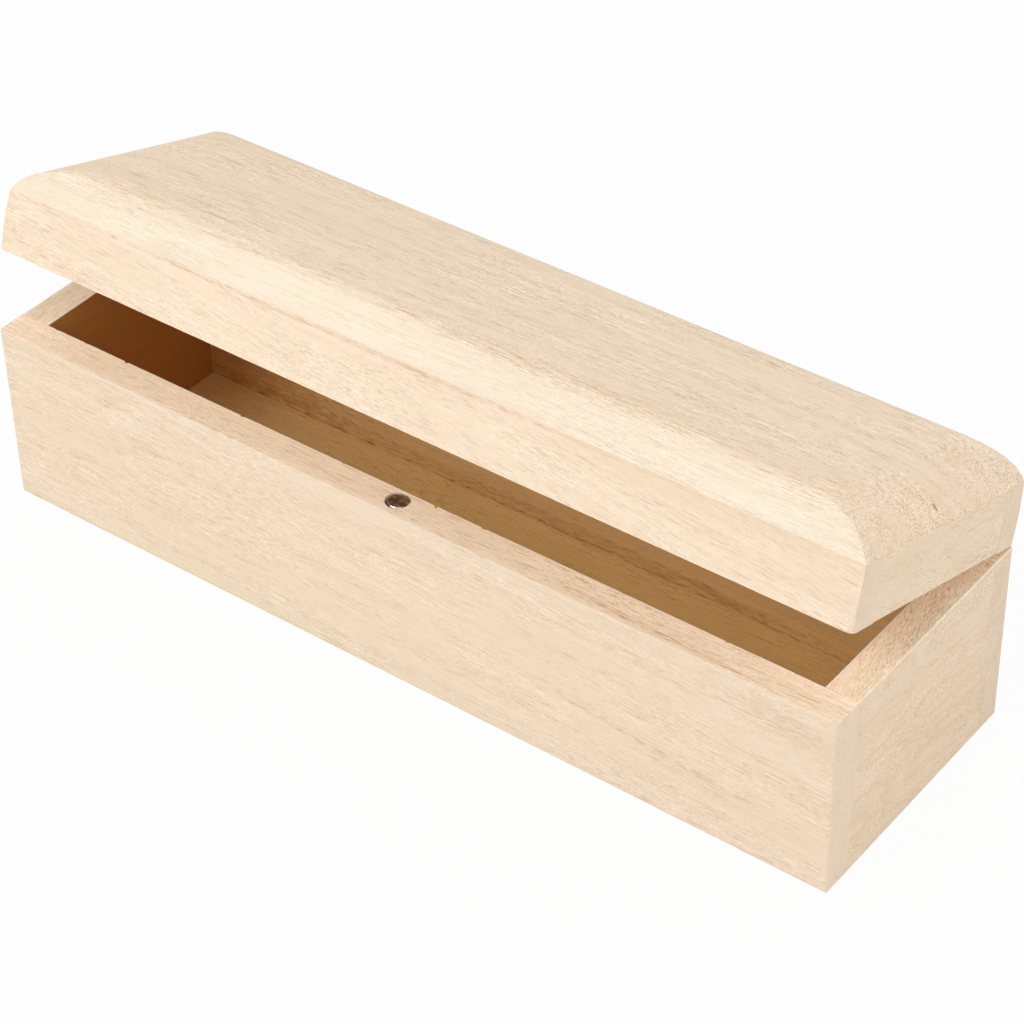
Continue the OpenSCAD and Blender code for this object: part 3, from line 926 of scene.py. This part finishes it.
class BOX_OT_base_boards(bpy.types.Operator):
    """Make the four boards of the base"""

    bl_idname = "wooden_box.base_boards"
    bl_label = "Base Boards"

    def execute(self, context):
        wood = context.scene.box_wood
        edges = context.scene.box_edges
        front_marks = (
            streak(wood.stain, 0.85, centre=(0.57 * HALF_LENGTH, 0.25 * BOARD - HALF_DEPTH, RIM),
                   half_size=(0.28 * HALF_LENGTH, 0.8 * MM, 4 * MM), slope=(0.0, -0.03, 0.0), solid=0.1),
            streak(wood.weathered, 0.75, centre=(0.61 * HALF_LENGTH, -HALF_DEPTH, 0.36 * RIM),
                   half_size=(0.25 * HALF_LENGTH, 5 * MM, 0.7 * MM), slope=(0.0, 0.0, -0.09)),
            streak(wood.weathered, 0.6, centre=(0.66 * HALF_LENGTH, -HALF_DEPTH, 0.29 * RIM),
                   half_size=(0.15 * HALF_LENGTH, 5 * MM, 0.5 * MM), slope=(0.0, 0.0, -0.09)),
            streak(wood.weathered, 0.45, centre=(0.90 * HALF_LENGTH, -HALF_DEPTH, 0.86 * RIM),
                   half_size=(0.14 * HALF_LENGTH, 5 * MM, 3.5 * MM), slope=(0.0, 0.0, -0.09), solid=0.2))
        front = board_wood("front_board", wood, seed=1.3, slope=(0.0, 0.03, -0.04), fibres=0.62,
                           pores=0.12, rings=0.15, marks=front_marks)
        back_marks = (
            # Painted shade: the corner shade darkens and warms the left end of the back board's inside, where the
            # box's own shade falls
            streak(CORNER_SHADE, 0.5, centre=(-1.05 * HALF_LENGTH, INNER_Y, 0.5 * RIM),
                   half_size=(0.6 * HALF_LENGTH, 4 * MM, RIM), solid=1.0, inner=True),
            streak(RED_BAND, 0.45, centre=(-0.2 * HALF_LENGTH, INNER_Y, 4.6 * MM),
                   half_size=(1.1 * HALF_LENGTH, 4 * MM, 2.2 * MM), solid=0.35, inner=True),
            streak(DARK_STREAK, 0.4, centre=(0.40 * HALF_LENGTH, INNER_Y, 4.6 * MM),
                   half_size=(0.09 * HALF_LENGTH, 4 * MM, 1.4 * MM), slope=(0.0, 0.0, -0.2),
                   solid=0.3, inner=True),
            streak(FOOT_LINE, 0.5, centre=(0.0, INNER_Y, 2.8 * MM),
                   half_size=(HALF_LENGTH, 4 * MM, 0.6 * MM), solid=0.3, inner=True))
        back = board_wood("back_board", wood, seed=4.1, slope=(0.0, 0.02, 0.03), rings=0.5,
                          marks=back_marks)
        # Painted shade: its inside is darkened and reddened further, for the deep shade at the left end of the box
        left = board_wood("left_end_board", wood, seed=6.2, slope=(0.0, 0.05, 0.05), fibres=0.6,
                          pores=0.15, rim=(0.96, 0.96, 0.96), shade=(0.56, 0.35, 0.18), across=True)
        # Painted light: its rim is tinted lighter against the shade that the lid casts over the end rim
        right = board_wood("right_end_board", wood, seed=8.4, slope=(0.0, 0.22, 0.12), fibres=0.6,
                           pores=0.25, rings=0.45, tint=(0.99, 0.98, 0.96), rim=(1.06, 1.06, 1.07),
                           across=True)
        make_long_board("front_board", front, edges, side=-1, rim=RIM, seed=1.0)
        make_long_board("back_board", back, edges, side=1, rim=RIM, seed=2.0)
        make_end_board("left_end_board", left, edges, side=-1, rim=RIM, seed=3.0)
        make_end_board("right_end_board", right, edges, side=1, rim=RIM, seed=4.0)
        return {"FINISHED"}


class BOX_OT_bottom_panel(bpy.types.Operator):
    """Make the thin bottom panel"""

    bl_idname = "wooden_box.bottom_panel"
    bl_label = "Bottom Panel"

    def execute(self, context):
        wood = context.scene.box_wood
        tint = tuple(panel / early for panel, early in zip(wood.panel, wood.early))
        ply = board_wood("bottom_panel", wood, seed=11.7, slope=(0.0, 0.01, 0.02), pores=0.08,
                         rings=0.1, tint=tint)
        bm = shut_mesh("bottom_panel")
        soften_board(bm, "bottom_panel", context.scene.box_edges)
        finish_piece(bm, "bottom_panel", ply)
        return {"FINISHED"}


class BOX_OT_lid_boards(bpy.types.Operator):
    """Make the four side boards of the lid"""

    bl_idname = "wooden_box.lid_boards"
    bl_label = "Lid Boards"

    def execute(self, context):
        wood = context.scene.box_wood
        edges = context.scene.box_edges
        front_marks = (
            streak(wood.stain, 0.55, centre=(0.0, -HALF_DEPTH, CREASE - 0.5 * MM),
                   half_size=(HALF_LENGTH, 4 * MM, 0.55 * MM), solid=0.3),
            streak(wood.late, 0.7, centre=(0.66 * HALF_LENGTH, -HALF_DEPTH, CREASE - 1.0 * MM),
                   half_size=(0.45 * HALF_LENGTH, 4 * MM, 3.5 * MM), solid=0.7))
        paler = wood.lid_inside
        front = board_wood("lid_front_board", wood, seed=2.6, slope=(0.0, 0.03, -0.09), fibres=0.62,
                           pores=0.12, rings=0.2, tint=(0.99, 0.98, 0.99), shade=paler,
                           marks=front_marks)
        back = board_wood("lid_back_board", wood, seed=5.3, slope=(0.0, 0.02, 0.04), pores=0.2,
                          rings=0.4, shade=paler)
        left = board_wood("lid_left_end_board", wood, seed=7.7, slope=(0.0, 0.05, 0.05), pores=0.2,
                          shade=paler, across=True)
        right = board_wood("lid_right_end_board", wood, seed=9.2, slope=(0.0, 0.12, 0.05), fibres=0.7,
                           pores=0.15, tint=(0.985, 0.98, 0.96), shade=paler, across=True)
        make_long_board("lid_front_board", front, edges, side=-1, rim=LID_RIM, seed=5.0)
        make_long_board("lid_back_board", back, edges, side=1, rim=LID_RIM, seed=6.0)
        make_end_board("lid_left_end_board", left, edges, side=-1, rim=LID_RIM, seed=7.0)
        make_end_board("lid_right_end_board", right, edges, side=1, rim=LID_RIM, seed=8.0)
        return {"FINISHED"}


class BOX_OT_crown(bpy.types.Operator):
    """Make the crowned top panel of the lid"""

    bl_idname = "wooden_box.crown"
    bl_label = "Lid Crown"

    def execute(self, context):
        wood = context.scene.box_wood
        knot = streak(
            KNOT, 0.85, centre=(0.97 * HALF_LENGTH, -0.08 * HALF_DEPTH, CREASE + 2.7 * MM),
            half_size=(1.2 * MM, 0.6 * MM, 1.3 * MM), solid=1.0)
        top = board_wood("lid_top_panel", wood, seed=3.8, slope=(0.0, 0.015, -0.02), fibres=0.98,
                         pores=0.1, rings=0.35, shade=wood.lid_inside, ends=(1.04, 1.035, 1.03),
                         stipple=0.5, sanded=0.5, marks=(knot,))
        make_crown(top, context.scene.box_edges)
        return {"FINISHED"}


class BOX_OT_catch(bpy.types.Operator):
    """Finish the two catch magnets"""

    bl_idname = "wooden_box.catch"
    bl_label = "Catch Magnets"

    def execute(self, context):
        look = context.scene.box_metal
        nickel = metal("magnet_plating", look.nickel, look.tarnish, patches=0.3, rough=0.25)
        dress(("base_magnet", "lid_magnet"), nickel)
        return {"FINISHED"}


class BOX_OT_hinges(bpy.types.Operator):
    """Finish the hinges, their pins and screws"""

    bl_idname = "wooden_box.hinges"
    bl_label = "Hinges"

    def execute(self, context):
        look = context.scene.box_metal
        dull = tuple(channel * 0.5 for channel in look.brass)
        brass = metal("hinge_brass", look.brass, dull, patches=0.0, rough=0.25)
        dress([name for name in HARDWARE if "hinge" in name], brass)
        return {"FINISHED"}


class BOX_OT_stage(bpy.types.Operator):
    """Set the floor, the light and the camera"""

    bl_idname = "wooden_box.stage"
    bl_label = "Stage"

    def execute(self, context):
        look = context.scene.box_stage
        make_floor(look)
        make_world(look)
        add_lamp("front", azimuth=-30, elevation=37, power=look.front, size=0.45)
        add_lamp("side", azimuth=75, elevation=32, power=look.side)
        add_lamp("top", azimuth=0, elevation=85, power=look.top)
        make_camera(look)
        context.scene.view_settings.view_transform = "Standard"
        return {"FINISHED"}


# ---- Stage ----

def seen_directly(g):
    """1 for rays from the camera and for what metal mirrors, 0 for light on the object."""
    path = g.node("ShaderNodeLightPath").outputs
    return g.math("MAXIMUM", path["Is Camera Ray"], path["Is Glossy Ray"])


def make_floor(look):
    """Pale floor that keeps a faint shadow."""
    bm = bmesh.new()
    bmesh.ops.create_grid(bm, x_segments=8, y_segments=8, size=look.floor_size / 2)
    mesh = bpy.data.meshes.new("floor")
    bm.to_mesh(mesh)
    bm.free()
    floor = add_object("floor", mesh)
    floor.location.z = -FLOOR_DROP
    made = bpy.data.materials.new("pale_floor")
    g = emptied(made)
    paper = g.node("ShaderNodeBsdfDiffuse", {"Color": opaque(PAPER)}).outputs[0]
    glow = g.node("ShaderNodeEmission", {"Color": opaque(WHITE)}).outputs[0]
    factor = g.math("MULTIPLY", seen_directly(g), FLOOR_GLOW)
    mixed = g.node("ShaderNodeMixShader", {0: factor, 1: paper, 2: glow}).outputs[0]
    g.node("ShaderNodeOutputMaterial", {"Surface": mixed})
    mesh.materials.append(made)


def make_world(look):
    """Even light all round, seen as white."""
    world = bpy.data.worlds.new("studio")
    bpy.context.scene.world = world
    g = emptied(world)
    strength = g.smooth(seen_directly(g), 0.0, 1.0, to_low=look.world)
    sky = g.node("ShaderNodeBackground", {"Color": opaque(WHITE), "Strength": strength}).outputs[0]
    g.node("ShaderNodeOutputWorld", {"Surface": sky})


def add_lamp(name, azimuth, elevation, power, distance=1.2, size=0.8):
    """Square soft lamp that looks at the middle of the box."""
    data = bpy.data.lights.new(name, "AREA")
    data.shape = "SQUARE"
    data.size = size
    data.energy = power
    lamp = add_object(name, data)
    a, e = math.radians(azimuth), math.radians(elevation)
    back = Vector((math.sin(a) * math.cos(e), -math.cos(a) * math.cos(e), math.sin(e)))
    centre = (CAD_LOW + CAD_HIGH) / 2
    lamp.location = centre + back * distance
    lamp.rotation_euler = back.to_track_quat("Z", "Y").to_euler()


def make_camera(look):
    """Camera turned to its target, then rolled about its own axis."""
    data = bpy.data.cameras.new("camera")
    data.lens = look.lens
    data.sensor_width = 36.0
    data.clip_start = 0.01
    camera = add_object("camera", data)
    place = Vector(look.camera_place)
    back = (place - Vector(look.camera_target)).normalized()
    right = Vector((0, 0, 1)).cross(back).normalized()
    up = back.cross(right)
    turn = Matrix((right, up, back)).transposed().to_4x4()
    camera.matrix_world = Matrix.Translation(place) @ turn @ Matrix.Rotation(look.camera_roll, 4, "Z")
    bpy.context.scene.camera = camera


# ---- Panel and registration ----

STEPS = (BOX_OT_base_boards, BOX_OT_bottom_panel, BOX_OT_lid_boards, BOX_OT_crown,
         BOX_OT_catch, BOX_OT_hinges, BOX_OT_stage)


class BOX_PT_sidebar(bpy.types.Panel):
    """Steps that dress the box"""

    bl_idname = "BOX_PT_sidebar"
    bl_label = "Wooden Box"
    bl_space_type = "VIEW_3D"
    bl_region_type = "UI"
    bl_category = "Wooden Box"

    def draw(self, context):
        for step in STEPS:
            self.layout.operator(step.bl_idname)


LOOKS = {"box_wood": WoodLook, "box_edges": EdgeLook, "box_metal": MetalLook, "box_stage": StageLook}
CLASSES = (*LOOKS.values(), *STEPS, BOX_PT_sidebar)


def register():
    """Adds the classes and the looks to Blender."""
    for made in CLASSES:
        bpy.utils.register_class(made)
    for name, group in LOOKS.items():
        setattr(bpy.types.Scene, name, PointerProperty(type=group))


def unregister():
    """Takes the looks and the classes out again."""
    for name in LOOKS:
        delattr(bpy.types.Scene, name)
    for made in reversed(CLASSES):
        bpy.utils.unregister_class(made)


def main():
    register()
    for step in STEPS:
        area, name = step.bl_idname.split(".")
        getattr(getattr(bpy.ops, area), name)()


if __name__ == "__main__":
    main()
